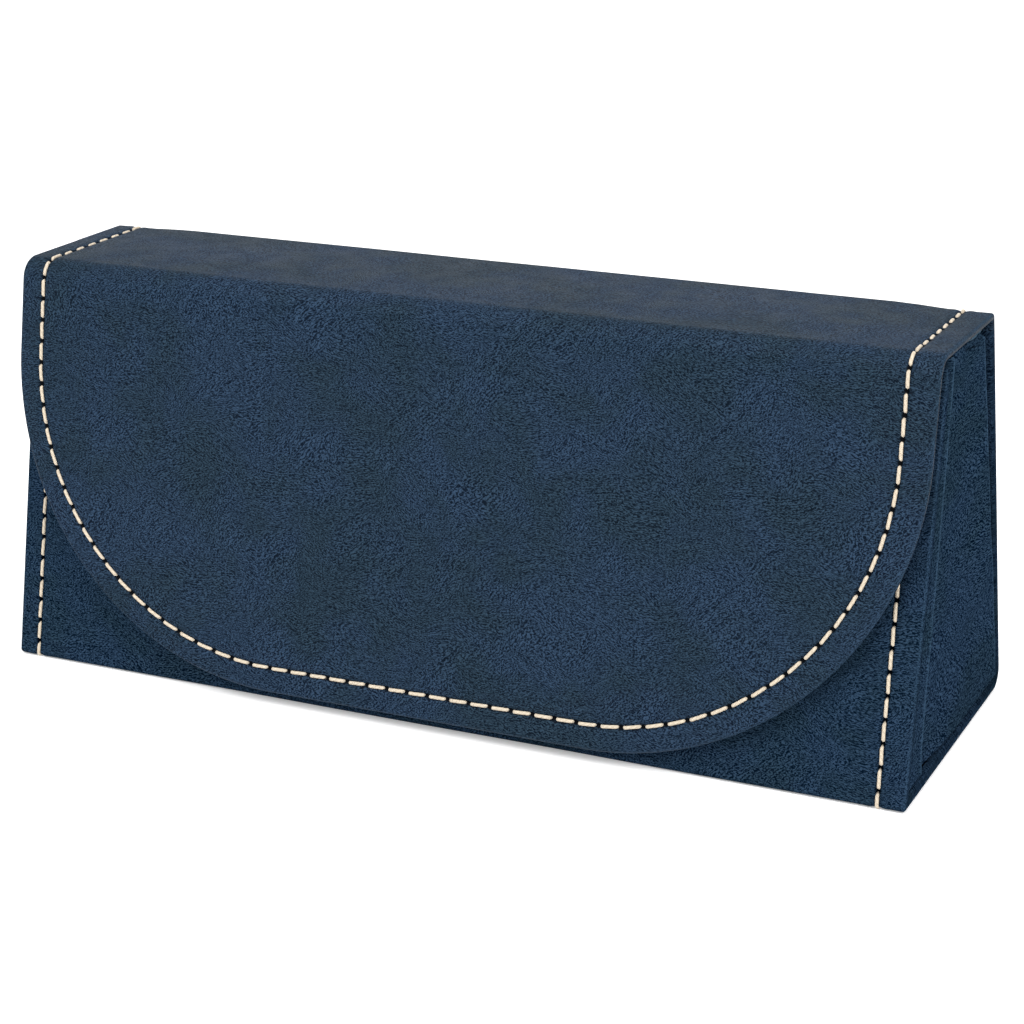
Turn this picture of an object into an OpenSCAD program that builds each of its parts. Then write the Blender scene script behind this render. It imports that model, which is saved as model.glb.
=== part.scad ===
// Eyeglasses case: a lined leatherette box with two sewn-in ends, and a hinged lid
// whose D-shaped flap folds down over the whole front and closes on hidden magnets.
// Millimetres. +X runs along the case, -Y is the front, +Z is up.
// The origin is on the base, in the middle of the closed case.

/* [Overall size] */
// Width across both ends
case_w = 165; // [150:1:180]
// Height from the base to the top of the lid
case_h = 71; // [62:1:80]
// Depth of the body at its base
base_d = 58.6; // [50:0.1:66]
// Depth of the lid, from the rear edge to the front fold
lid_d = 30.8; // [26:0.1:36]
// How far the front panel leans back from base to lid height
front_lean = 12.9; // [8:0.1:16]
// How far the rear panel leans forward from base to lid height
rear_lean = 19.1; // [12:0.1:22]

/* [Flap] */
// Length of the flap, measured down its slope from the front fold
flap_len = 69.6; // [62:0.1:72]
// How far the tip of the flap stands in front of the base
flap_overhang = 2.77; // [2:0.01:5]
// Radius of the two round lower corners of the flap
flap_corner_r = 53.6; // [40:0.1:60]
// Outer radius of the soft fold between lid and flap
front_fold_r = 4; // [3:0.1:5]
// Outer radius of the crisp fold between rear panel and lid
rear_fold_r = 1; // [0.8:0.1:1.5]

/* [Layers] */
// Leatherette
leather_t = 0.7; // [0.6:0.05:0.9]
// Greyboard in the front, base and rear panels
body_board_t = 1.1; // [0.8:0.1:1.4]
// Greyboard in the lid and the flap
lid_board_t = 0.9; // [0.7:0.1:1.2]
// Lining cloth in the body
body_lining_t = 0.4; // [0.3:0.1:0.6]
// Lining cloth of the lid and the flap
lid_lining_t = 0.5; // [0.4:0.1:0.6]
// Card in the two ends
end_board_t = 0.8; // [0.6:0.1:1]

/* [Ends] */
// How deep the end walls are set in from the rims
end_recess = 1.6; // [1:0.1:2.5]
// Width of the rolled front edge of an end, behind the front panel
end_roll_front = 2.4; // [1.6:0.1:3]
// Width of the rolled rear edge of an end
end_roll_rear = 1.8; // [1.2:0.1:2.5]
// Width of the rolled bottom edge of an end
end_roll_base = 1.5; // [1:0.1:2]
// How far the sewn hem of an end reaches in along the panels
end_hem = 7; // [6:0.5:9]

/* [Stitching] */
// Distance from one stitch to the next
stitch_pitch = 3.8; // [3.4:0.1:5]
// Length of thread showing in one stitch
stitch_len = 3; // [2.2:0.1:3.2]
// Diameter of the thread
thread_d = 0.5; // [0.4:0.05:0.6]
// Width of the pressed channel that the stitches lie in
channel_w = 1.2; // [0.9:0.1:1.6]
// Distance from the edge of the lid and flap to the stitches
lid_stitch_inset = 4.75; // [3.5:0.05:6]
// Distance from the ends of the body to the stitches
body_stitch_inset = 4.25; // [3.5:0.05:6]

/* [Magnets] */
// Diameter of each disc magnet
magnet_d = 10; // [8:0.5:12]
// Thickness of each disc magnet
magnet_t = 0.8; // [0.6:0.1:0.9]
// Distance from the middle of the case to each magnet
magnet_x = 24; // [12:1:27]
// Distance from the front fold down to the magnets in the flap
magnet_v = 57; // [50:1:58]

/* [Hidden] */

LEATHER = "#2d4258";
THREAD = "#e9e0cd";
BOARD = "#8f8b82";
LINING = "#2f5468";
NICKEL = "#b9bcc0";

ARC_STEPS = 8;
CURVE_FN = 96;
THREAD_FN = 16;

// How far a cutting shape reaches past what it cuts.
past = 1;

front_angle = atan(front_lean / case_h);
rear_angle = atan(rear_lean / case_h);

// The closed case is centred front to back, from the flap's tip to the rounded rear edge,
// which lies a little in front of where the rear and base faces would meet.
base_corner_r = 3;
inside_corner_r = 0.4;
rear_round_in = base_corner_r * (1 / tan((90 - rear_angle) / 2) - 1);
half_d = (base_d + flap_overhang - rear_round_in) / 2;
base_rear_y = half_d + rear_round_in;
base_front_y = base_rear_y - base_d;
lid_rear_y = base_rear_y - rear_lean;
lid_front_y = lid_rear_y - lid_d;
flap_angle = asin((lid_front_y + half_d) / flap_len);

// Depths from the outer face of a panel to its layers.
body_board_in = leather_t + body_board_t;
body_panel_t = body_board_in + body_lining_t;
border_t = leather_t + lid_lining_t;
lid_board_in = leather_t + lid_board_t;
lid_panel_t = lid_board_in + lid_lining_t;

// Clear gaps under the lid, and the height where the body's panels end.
lid_gap = 0.4;
panel_top_z = case_h - lid_panel_t - lid_gap;
end_top_z = case_h - border_t - lid_gap;

// The folds are bare leatherette and lining; the boards stop short of them.
rear_zone = 2.4;
rear_fold_inner_r = 0.3;
front_fold_flat = 0.6;
front_tangent = front_fold_r * tan((90 - flap_angle) / 2);
front_zone = front_tangent + front_fold_flat;

// The boards end just short of the bends in the leatherette and of the seams.
board_margin = 0.5;
board_bend_gap = 0.3;
board_seam_gap = 1.25;
board_corner_gap = base_corner_r / tan((90 - rear_angle) / 2) + board_bend_gap;
lid_board_inset = lid_stitch_inset + board_seam_gap;
flap_arc_x = case_w / 2 - flap_corner_r;
flap_arc_v = flap_len - flap_corner_r;

channel_depth = thread_d;
body_stitch_x = case_w / 2 - body_stitch_inset;
lid_stitch_x = case_w / 2 - lid_stitch_inset;
end_wall_x = case_w / 2 - end_recess;
front_magnet_s = (case_h - magnet_v * cos(flap_angle)) / cos(front_angle);

// The hinge axes lie where a strip as long as the fold's middle layer stays that long.
function fold_axis_reach(mid_r, half_turn) =
    mid_r / cos(half_turn) * (half_turn * PI / 180) / tan(half_turn);
rear_half_turn = (90 - rear_angle) / 2;
front_half_turn = (90 - flap_angle) / 2;
rear_fold_centre = [
    lid_rear_y - rear_fold_r * tan(rear_half_turn),
    case_h - rear_fold_r
];
front_fold_centre = [lid_front_y + front_tangent, case_h - front_fold_r];
lid_axis = rear_fold_centre
    + fold_axis_reach(rear_fold_r - border_t / 2, rear_half_turn)
    * [sin(rear_half_turn), cos(rear_half_turn)];
flap_axis = front_fold_centre
    + fold_axis_reach(front_fold_r - border_t / 2, front_half_turn)
    * [-sin(front_half_turn), cos(front_half_turn)];
// Printed for the record, whose two joints turn about these axes.
echo(lid_axis = lid_axis, flap_axis = flap_axis, flap_angle = flap_angle);

// ---- Outlines -------------------------------------------------------------

function unit(v) = v / norm(v);
function turned(v, a) = [v[0] * cos(a) - v[1] * sin(a), v[0] * sin(a) + v[1] * cos(a)];

// The points of corner q between its neighbours p and s, rounded to radius r.
function corner(p, q, s, r) =
    r == 0 ? [q] :
    let (
        a = unit(p - q),
        b = unit(s - q),
        half = acos(a * b) / 2,
        centre = q + unit(a + b) * r / sin(half),
        first = q + a * r / tan(half) - centre,
        sweep = (cross(a, b) > 0 ? -1 : 1) * (180 - 2 * half)
    )
    [for (i = [0 : ARC_STEPS]) centre + turned(first, sweep * i / ARC_STEPS)];

// A closed outline through points, each corner with its own radius.
function rounded(points, radii) =
    let (n = len(points))
    [for (i = [0 : n - 1])
        each corner(points[(i + n - 1) % n], points[i], points[(i + 1) % n], radii[i])];

function front_y(z, depth) = base_front_y + z * tan(front_angle) + depth / cos(front_angle);
function rear_y(z, depth) = base_rear_y - z * tan(rear_angle) - depth / cos(rear_angle);

// The body's cross-section in Y and Z, set in from the outer faces by depth.
module section(top, depth, front_extra = 0, rear_extra = 0, base_extra = 0) {
    r = max(base_corner_r - depth, inside_corner_r);
    floor_z = depth + base_extra;
    polygon(rounded(
        [
            [front_y(top, depth + front_extra), top],
            [front_y(floor_z, depth + front_extra), floor_z],
            [rear_y(floor_z, depth + rear_extra), floor_z],
            [rear_y(top, depth + rear_extra), top]
        ],
        [0, r, r, 0]
    ));
}

// Sweeps a Y, Z outline along X from x0 to x1.
module along_x(x0, x1) {
    translate([x0, 0, 0])
        rotate([90, 0, 90])
            linear_extrude(x1 - x0)
                children();
}

module both_ways(half_length) {
    along_x(-half_length, half_length)
        children();
}

// The flap's D outline, set in from its edge, from top_v down.
module flap_outline(inset, top_v) {
    r = flap_corner_r - inset;
    half_w = case_w / 2 - inset;
    translate([-half_w, top_v])
        square([2 * half_w, flap_arc_v - top_v]);
    intersection() {
        union() {
            for (side = [-1, 1])
                translate([side * flap_arc_x, flap_arc_v])
                    circle(r, $fn = CURVE_FN);
            translate([-flap_arc_x, flap_arc_v])
                square([2 * flap_arc_x, r]);
        }
        translate([-case_w, flap_arc_v])
            square([2 * case_w, flap_len]);
    }
}

// ---- Panel frames: x across, y along the panel, z out of its face ---------

module on_front() {
    translate([0, base_front_y, 0])
        rotate([90 - front_angle, 0, 0])
            children();
}

module on_rear() {
    translate([0, base_rear_y, 0])
        rotate([0, 0, 180])
            rotate([90 - rear_angle, 0, 0])
                children();
}

module on_base() {
    translate([0, base_front_y, 0])
        rotate([0, 180, 0])
            children();
}

module on_lid() {
    translate([0, lid_rear_y, case_h])
        rotate([0, 0, 180])
            children();
}

module on_flap() {
    translate([0, lid_front_y, case_h])
        rotate([0, 0, 180])
            rotate([flap_angle - 90, 0, 0])
                children();
}

// A layer from depth a to depth b below the face of a panel.
module layer(a, b) {
    translate([0, 0, -b])
        linear_extrude(b - a)
            children();
}

module slab(half_w, y0, y1, a, b) {
    layer(a, b)
        translate([-half_w, y0])
            square([2 * half_w, y1 - y0]);
}

// ---- Stitches -------------------------------------------------------------

// One stitch lying in its channel, in a panel's frame, along direction a.
module stitch(x, y, a) {
    translate([x, y, -channel_depth + thread_d / 2])
        rotate([0, 0, a])
            rotate([-90, 0, 0])
                cylinder(d = thread_d, h = stitch_len, center = true, $fn = THREAD_FN);
}

// A straight row of whole stitches from y0 to y1, centred between them.
module stitch_row(x, y0, y1) {
    count = floor((y1 - y0) / stitch_pitch);
    first = (y0 + y1 - (count - 1) * stitch_pitch) / 2;
    for (i = [0 : count - 1])
        stitch(x, first + i * stitch_pitch, 0);
}

module channel(x, y0, y1) {
    translate([x - channel_w / 2, y0, -channel_depth])
        cube([channel_w, y1 - y0, channel_depth + past]);
}

// Where the rows of stitches start and end along the front, base and rear panels.
front_row_end_gap = 2;
rear_row_end_gap = 1;
front_row = [base_corner_r, panel_top_z / cos(front_angle) - front_row_end_gap];
base_row = [base_corner_r, base_d - base_corner_r];
rear_row = [base_corner_r, panel_top_z / cos(rear_angle) - rear_row_end_gap];

// The seam of one end runs down the front, under the base and up the rear.
module body_stitches(side) {
    on_front() stitch_row(side * body_stitch_x, front_row[0], front_row[1]);
    on_base() stitch_row(-side * body_stitch_x, base_row[0], base_row[1]);
    on_rear() stitch_row(-side * body_stitch_x, rear_row[0], rear_row[1]);
}

module body_channels(side) {
    on_front() channel(side * body_stitch_x, front_row[0], front_row[1]);
    on_base() channel(-side * body_stitch_x, base_row[0], base_row[1]);
    on_rear() channel(-side * body_stitch_x, rear_row[0], rear_row[1]);
}

// The flap's seam, from the middle of its lower edge to the fold at one side.
stitch_arc_r = flap_corner_r - lid_stitch_inset;
arc_len = stitch_arc_r * PI / 2;
side_len = flap_arc_v - front_zone;
flap_half_seam = flap_arc_x + arc_len + side_len;

module flap_stitch(s) {
    a = (s - flap_arc_x) / stitch_arc_r * 180 / PI;
    if (s < flap_arc_x)
        stitch(s, flap_arc_v + stitch_arc_r, 90);
    else if (s < flap_arc_x + arc_len)
        stitch(
            flap_arc_x + stitch_arc_r * sin(a),
            flap_arc_v + stitch_arc_r * cos(a),
            90 - a
        );
    else
        stitch(lid_stitch_x, flap_arc_v - (s - flap_arc_x - arc_len), 0);
}

// ---- Body -----------------------------------------------------------------

module body_cover() {
    color(LEATHER)
        difference() {
            both_ways(case_w / 2) section(panel_top_z, 0);
            both_ways(case_w / 2 + past)
                section(panel_top_z + past, body_board_in);
            both_ways(case_w / 2 - leather_t)
                section(panel_top_z - leather_t, leather_t);
            for (side = [-1, 1])
                body_channels(side);
        }
}

module front_board() {
    color(BOARD)
        on_front()
            difference() {
                slab(
                    case_w / 2 - leather_t,
                    board_corner_gap,
                    panel_top_z / cos(front_angle) - leather_t - board_margin,
                    leather_t,
                    body_board_in
                );
                for (side = [-1, 1])
                    translate([side * magnet_x, front_magnet_s, -body_board_in - past])
                        cylinder(d = magnet_d, h = body_board_t + 2 * past, $fn = CURVE_FN);
            }
}

module base_board() {
    color(BOARD)
        on_base()
            slab(
                case_w / 2 - leather_t,
                board_corner_gap,
                base_d - board_corner_gap,
                leather_t,
                body_board_in
            );
}

module rear_board() {
    color(BOARD)
        on_rear()
            slab(
                case_w / 2 - leather_t,
                board_corner_gap,
                panel_top_z / cos(rear_angle) - leather_t - board_margin,
                leather_t,
                body_board_in
            );
}

module body_lining() {
    color(LINING)
        both_ways(case_w / 2 - end_hem)
            difference() {
                section(panel_top_z, body_board_in);
                section(panel_top_z + past, body_panel_t);
            }
}

// An end: a set-in wall, rolled out to the rims, with a hem that is sewn to the panels.
module right_end_shape() {
    hem_in = body_board_in + leather_t;
    color(LEATHER) {
        difference() {
            along_x(end_wall_x - leather_t, case_w / 2)
                section(end_top_z, body_board_in);
            along_x(end_wall_x, case_w / 2 + past)
                section(
                    end_top_z + past,
                    body_board_in,
                    end_roll_front,
                    end_roll_rear,
                    end_roll_base
                );
        }
        difference() {
            along_x(case_w / 2 - end_hem, end_wall_x - leather_t)
                section(panel_top_z, body_board_in);
            along_x(case_w / 2 - end_hem - past, end_wall_x)
                section(panel_top_z + past, hem_in);
        }
    }
}

module right_end_wall(x_out, thickness) {
    along_x(x_out - thickness, x_out)
        section(panel_top_z, body_board_in + leather_t);
}

module right_end_board_shape() {
    color(BOARD)
        right_end_wall(end_wall_x - leather_t, end_board_t);
}

module right_end_lining_shape() {
    color(LINING)
        right_end_wall(end_wall_x - leather_t - end_board_t, body_lining_t);
}

module right_end() {
    right_end_shape();
}

module left_end() {
    mirror([1, 0, 0]) right_end_shape();
}

module right_end_board() {
    right_end_board_shape();
}

module left_end_board() {
    mirror([1, 0, 0]) right_end_board_shape();
}

module right_end_lining() {
    right_end_lining_shape();
}

module left_end_lining() {
    mirror([1, 0, 0]) right_end_lining_shape();
}

module magnet() {
    color(NICKEL)
        cylinder(d = magnet_d, h = magnet_t, $fn = CURVE_FN);
}

module front_magnet(side) {
    on_front()
        translate([side * magnet_x, front_magnet_s, -leather_t - magnet_t])
            magnet();
}

module front_magnet_left() {
    front_magnet(-1);
}

module front_magnet_right() {
    front_magnet(1);
}

module body_stitching_left() {
    color(THREAD) body_stitches(-1);
}

module body_stitching_right() {
    color(THREAD) body_stitches(1);
}

// ---- Lid ------------------------------------------------------------------

lid_stitch_row = [rear_zone, lid_d - front_zone];

module lid_cover() {
    color(LEATHER)
        on_lid()
            difference() {
                slab(case_w / 2, rear_zone, lid_d - front_zone, 0, leather_t);
                for (side = [-1, 1])
                    channel(side * lid_stitch_x, lid_stitch_row[0] - past, lid_stitch_row[1] + past);
            }
}

module lid_board() {
    color(BOARD)
        on_lid()
            slab(
                case_w / 2 - lid_board_inset,
                rear_zone + board_margin,
                lid_d - front_zone - board_margin,
                leather_t,
                lid_board_in
            );
}

// The lining is glued over the board and meets the leatherette in a thin border.
module lid_lining() {
    color(LINING)
        on_lid()
            difference() {
                union() {
                    slab(case_w / 2, rear_zone, lid_d - front_zone, leather_t, border_t);
                    slab(
                        case_w / 2 - lid_board_inset + board_margin,
                        rear_zone,
                        lid_d - front_zone,
                        leather_t,
                        lid_panel_t
                    );
                }
                slab(
                    case_w / 2 - lid_board_inset,
                    rear_zone + board_margin,
                    lid_d - front_zone - board_margin,
                    0,
                    lid_board_in
                );
            }
}

module lid_stitching(side) {
    color(THREAD)
        on_lid() stitch_row(-side * lid_stitch_x, lid_stitch_row[0], lid_stitch_row[1]);
}

module lid_stitching_left() {
    lid_stitching(-1);
}

module lid_stitching_right() {
    lid_stitching(1);
}

// Leatherette and lining in one, bent round the rear top edge.
module rear_hinge() {
    color(LEATHER)
        both_ways(case_w / 2)
            polygon(rounded(
                [
                    [rear_y(panel_top_z, 0), panel_top_z],
                    [lid_rear_y, case_h],
                    [lid_rear_y - rear_zone, case_h],
                    [lid_rear_y - rear_zone, case_h - border_t],
                    [rear_y(case_h - border_t, border_t), case_h - border_t],
                    [rear_y(panel_top_z, border_t), panel_top_z]
                ],
                [0, rear_fold_r, 0, 0, rear_fold_inner_r, 0]
            ));
}

// Leatherette and lining in one, bent round the front top edge.
module front_fold() {
    down = [-sin(flap_angle), -cos(flap_angle)];
    inward = [cos(flap_angle), -sin(flap_angle)];
    ridge = [lid_front_y, case_h];
    inner_ridge = ridge + border_t * [tan((90 - flap_angle) / 2), -1];
    color(LEATHER)
        both_ways(case_w / 2)
            polygon(rounded(
                [
                    ridge + [front_zone, 0],
                    ridge,
                    ridge + front_zone * down,
                    ridge + front_zone * down + border_t * inward,
                    inner_ridge,
                    ridge + [front_zone, -border_t]
                ],
                [0, front_fold_r, 0, 0, front_fold_r - border_t, 0]
            ));
}

// ---- Flap -----------------------------------------------------------------

module flap_cover() {
    color(LEATHER)
        on_flap()
            difference() {
                layer(0, leather_t)
                    flap_outline(0, front_zone);
                translate([0, 0, past])
                    layer(0, channel_depth + past)
                        difference() {
                            flap_outline(lid_stitch_inset - channel_w / 2, front_zone - past);
                            flap_outline(lid_stitch_inset + channel_w / 2, front_zone - 2 * past);
                        }
            }
}

module flap_magnet_places() {
    for (side = [-1, 1])
        translate([side * magnet_x, magnet_v])
            circle(d = magnet_d, $fn = CURVE_FN);
}

module flap_board() {
    color(BOARD)
        on_flap()
            layer(leather_t, lid_board_in)
                difference() {
                    flap_outline(lid_board_inset, front_zone + board_margin);
                    flap_magnet_places();
                }
}

module flap_lining() {
    color(LINING)
        on_flap()
            difference() {
                union() {
                    layer(leather_t, border_t)
                        flap_outline(0, front_zone);
                    layer(leather_t, lid_panel_t)
                        flap_outline(lid_board_inset - board_margin, front_zone);
                }
                translate([0, 0, past])
                    layer(leather_t, lid_board_in + past)
                        flap_outline(lid_board_inset, front_zone + board_margin);
            }
}

module flap_magnet(side) {
    on_flap()
        translate([-side * magnet_x, magnet_v, -leather_t - magnet_t])
            magnet();
}

module flap_magnet_left() {
    flap_magnet(-1);
}

module flap_magnet_right() {
    flap_magnet(1);
}

module flap_stitching() {
    color(THREAD)
        on_flap()
            for (side = [0, 1])
                mirror([side, 0, 0])
                    for (s = [stitch_pitch / 2 : stitch_pitch : flap_half_seam - stitch_len / 2])
                        flap_stitch(s);
}

body_cover();
front_board();
base_board();
rear_board();
body_lining();
left_end();
right_end();
left_end_board();
right_end_board();
left_end_lining();
right_end_lining();
front_magnet_left();
front_magnet_right();
body_stitching_left();
body_stitching_right();
lid_cover();
lid_board();
lid_lining();
lid_stitching_left();
lid_stitching_right();
rear_hinge();
front_fold();
flap_cover();
flap_board();
flap_lining();
flap_magnet_left();
flap_magnet_right();
flap_stitching();
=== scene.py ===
import math

import bpy
import numpy as np
from mathutils import Matrix, Vector
from mathutils.geometry import delaunay_2d_cdt


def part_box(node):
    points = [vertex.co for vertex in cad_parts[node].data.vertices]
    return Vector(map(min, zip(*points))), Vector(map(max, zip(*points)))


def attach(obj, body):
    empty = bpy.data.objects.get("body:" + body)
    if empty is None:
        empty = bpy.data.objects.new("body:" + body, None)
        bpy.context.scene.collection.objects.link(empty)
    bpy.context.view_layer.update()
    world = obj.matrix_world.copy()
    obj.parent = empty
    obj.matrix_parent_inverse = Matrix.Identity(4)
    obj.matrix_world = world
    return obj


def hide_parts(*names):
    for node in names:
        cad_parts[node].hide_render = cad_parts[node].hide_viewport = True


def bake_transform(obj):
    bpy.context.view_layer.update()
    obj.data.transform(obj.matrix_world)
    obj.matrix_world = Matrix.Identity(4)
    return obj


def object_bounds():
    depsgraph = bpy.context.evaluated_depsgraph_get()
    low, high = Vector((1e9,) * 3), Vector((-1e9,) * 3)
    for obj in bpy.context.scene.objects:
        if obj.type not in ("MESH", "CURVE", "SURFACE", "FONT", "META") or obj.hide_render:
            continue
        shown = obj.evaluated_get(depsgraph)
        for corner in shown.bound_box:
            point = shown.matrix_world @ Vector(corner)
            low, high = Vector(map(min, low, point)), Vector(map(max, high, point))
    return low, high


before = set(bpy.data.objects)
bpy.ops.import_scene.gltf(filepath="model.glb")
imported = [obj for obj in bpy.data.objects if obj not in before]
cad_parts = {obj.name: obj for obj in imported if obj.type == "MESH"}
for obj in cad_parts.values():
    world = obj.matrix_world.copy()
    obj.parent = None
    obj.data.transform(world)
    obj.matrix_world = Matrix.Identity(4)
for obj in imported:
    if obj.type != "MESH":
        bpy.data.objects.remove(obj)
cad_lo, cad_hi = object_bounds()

# Shapes are worked out in millimetres and turned into metres as each mesh is made.
MM = 0.001

# ---- Sizes read from the frame ----

LEATHER_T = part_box("base_board")[0].z / MM
BOARD_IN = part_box("base_board")[1].z / MM
LINING_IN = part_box("body_lining")[0].z / MM + 0.4
HALF_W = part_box("lid_cover")[1].x / MM
TOP_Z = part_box("lid_cover")[1].z / MM
PANEL_TOP_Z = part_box("body_cover")[1].z / MM
LID_PANEL_T = TOP_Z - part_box("lid_lining")[0].z / MM
END_CARD_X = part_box("right_end_board")[1].x / MM
END_TOP_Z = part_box("right_end")[1].z / MM
HEM_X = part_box("right_end")[0].x / MM
BORDER_T = 1.2
BARE_T = 0.85
FRONT_BASE_R = 0.7
REAR_FOLD_R = 1.0
FRONT_FOLD_R = 4.0
INNER_R = 0.3
LID_CROWN = 0.35
SIDE_WORDS = {-1: "left", 1: "right"}


def mesh_points(node):
    """The vertices of a CAD node in millimetres."""
    return np.array([v.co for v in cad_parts[node].data.vertices], float) / MM


def outer_line(node, facing):
    """The low and high ends, in Y and Z, of a slab's outer edge at its +X end."""
    points = mesh_points(node)
    end = points[points[:, 0] > points[:, 0].max() - 0.01][:, 1:]
    middle = (end[:, 1].min() + end[:, 1].max()) / 2
    halves = (end[end[:, 1] < middle], end[end[:, 1] >= middle])
    return [half[np.argmax(half[:, 0] * facing)] for half in halves]


def shifted(line, distance, facing):
    """A Y, Z line moved sideways, towards -Y or +Y."""
    low, high = line
    along = (high - low) / np.linalg.norm(high - low)
    across = np.array([along[1], -along[0]]) * facing
    return [low + across * distance, high + across * distance]


def at_height(line, z):
    low, high = line
    return low + (high - low) * (z - low[1]) / (high[1] - low[1])


FRONT_LINE = shifted(outer_line("front_board", -1), LEATHER_T, -1)
REAR_LINE = shifted(outer_line("rear_board", 1), LEATHER_T, 1)
FLAP_LINE = outer_line("flap_cover", -1)
FRONT_RIM = at_height(FRONT_LINE, PANEL_TOP_Z)
FRONT_BASE = at_height(FRONT_LINE, 0)
REAR_BASE = at_height(REAR_LINE, 0)
REAR_TOP = at_height(REAR_LINE, TOP_Z)
FRONT_TOP = at_height(FLAP_LINE, TOP_Z)
REAR_LEAN = math.atan2(REAR_BASE[0] - REAR_TOP[0], TOP_Z)
ROUND_IN = REAR_BASE[0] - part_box("body_cover")[1].y / MM
BASE_R = ROUND_IN / (1 / math.tan((math.pi / 2 - REAR_LEAN) / 2) - 1)
FLAP_DOWN = (FLAP_LINE[0] - FLAP_LINE[1]) / np.linalg.norm(FLAP_LINE[0] - FLAP_LINE[1])
FLAP_LEN = max((mesh_points("flap_cover")[:, 1:] - FRONT_TOP) @ FLAP_DOWN)
FLAP_TIP = FRONT_TOP + FLAP_DOWN * FLAP_LEN
ARC_V = float((FLAP_LINE[0] - FRONT_TOP) @ FLAP_DOWN)
ARC_R = FLAP_LEN - ARC_V
ARC_X = HALF_W - ARC_R


# ---- The case's outer face: one strip, from the body's front rim to the flap's tip ----


class Strip:
    """A bent sheet: s runs along it and depth inwards from its outer face."""

    def __init__(self, points, radii):
        self.points = [np.array(p, float) for p in points]
        steps = [b - a for a, b in zip(self.points, self.points[1:])]
        self.along = [d / np.linalg.norm(d) for d in steps]
        self.out = [np.array([t[1], -t[0]]) for t in self.along]
        self.radii = [None, *radii, None]
        pairs = zip(self.along, self.along[1:])
        self.turn = [0.0, *(math.acos(float(a @ b)) for a, b in pairs), 0.0]
        self.flats = []
        s = 0.0
        for i, step in enumerate(steps):
            flat = np.linalg.norm(step) - self.setback(i, 0.0) - self.setback(i + 1, 0.0)
            self.flats.append((s, s + flat))
            s += flat
            if self.radii[i + 1] is not None:
                s += self.radii[i + 1] * self.turn[i + 1]
        self.length = s

    def radius(self, corner, depth):
        return np.maximum(self.radii[corner] - depth, INNER_R)

    def setback(self, corner, depth):
        """How far before a corner of the line, set in by depth, its rounding starts."""
        if self.radii[corner] is None:
            return 0.0 * depth
        return self.radius(corner, depth) * math.tan(self.turn[corner] / 2)

    def inset_corner(self, corner, depth):
        depth = np.asarray(depth, float)[..., None]
        if self.radii[corner] is None:
            side = self.out[0] if corner == 0 else self.out[-1]
            return self.points[corner] - side * depth
        a, b = self.out[corner - 1], self.out[corner]
        return self.points[corner] - (a + b) / (1 + a @ b) * depth

    def at(self, s, depth):
        """The Y, Z points at s along the strip and depth below its outer face."""
        s, depth = np.broadcast_arrays(np.asarray(s, float), np.asarray(depth, float))
        result = np.zeros(s.shape + (2,))
        last = len(self.flats) - 1
        for i, (start, end) in enumerate(self.flats):
            a = self.inset_corner(i, depth)
            b = self.inset_corner(i + 1, depth)
            a = a + self.along[i] * np.asarray(self.setback(i, depth))[..., None]
            b = b - self.along[i] * np.asarray(self.setback(i + 1, depth))[..., None]
            share = ((s - start) / (end - start))[..., None]
            here = s >= start if i else np.full(s.shape, True)
            result[here] = (a + (b - a) * share)[here]
            if i == last:
                break
            corner = i + 1
            angle = ((s - end) / self.radii[corner])[..., None]
            radius = self.radius(corner, depth)[..., None]
            middle = self.out[i] + self.out[i + 1]
            middle = middle / np.linalg.norm(middle)
            reach = radius / math.cos(self.turn[corner] / 2)
            centre = self.inset_corner(corner, depth) - middle * reach
            normal = np.cos(angle) * self.out[i] + np.sin(angle) * self.along[i]
            bend = (s > end) & (s < self.flats[i + 1][0])
            result[bend] = (centre + normal * radius)[bend]
        return result

    def point(self, x, s, depth):
        x, s, depth = np.broadcast_arrays(x, s, depth)
        return np.concatenate([x[..., None], self.at(s, depth)], axis=-1)


STRIP = Strip(
    [FRONT_RIM, FRONT_BASE, REAR_BASE, REAR_TOP, FRONT_TOP, FLAP_TIP],
    [FRONT_BASE_R, BASE_R, REAR_FOLD_R, FRONT_FOLD_R],
)
FRONT_FACE, BASE_FACE, REAR_FACE, LID_FACE, FLAP_FACE = STRIP.flats


def lid_s(y):
    """How far along the strip the lid is at that Y."""
    return LID_FACE[0] + STRIP.at(LID_FACE[0], 0.0)[0] - y


def flap_s(v):
    """How far along the strip the flap is at v below its ridge line."""
    return FLAP_FACE[1] - FLAP_LEN + v


REAR_CUT = REAR_FACE[1] - (
    np.linalg.norm(REAR_TOP - at_height(REAR_LINE, PANEL_TOP_Z))
    - REAR_FOLD_R * math.tan(STRIP.turn[3] / 2)
)
LID_CUT = (LID_FACE[0] + LID_FACE[1]) / 2
REAR_FOLD_END = lid_s(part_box("lid_cover")[1].y / MM)
FRONT_FOLD_START = lid_s(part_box("lid_cover")[0].y / MM)
FRONT_FOLD_END = flap_s(float((FLAP_LINE[1] - FRONT_TOP) @ FLAP_DOWN))
ARC_S = flap_s(ARC_V)


def in_metres(s):
    return Vector(STRIP.point(0.0, s, 0.0) * MM)


REAR_BLEND = (in_metres(REAR_CUT), in_metres(REAR_FOLD_END))
FRONT_BLEND = (in_metres(FRONT_FOLD_START), in_metres(FRONT_FOLD_END))


# ---- Shape functions ----


def smooth(value, low, high):
    t = np.clip((np.asarray(value, float) - low) / (high - low), 0, 1)
    return t * t * (3 - 2 * t)


def hump(value, centre, width):
    return np.exp(-(((np.asarray(value, float) - centre) / width) ** 2))


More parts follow.
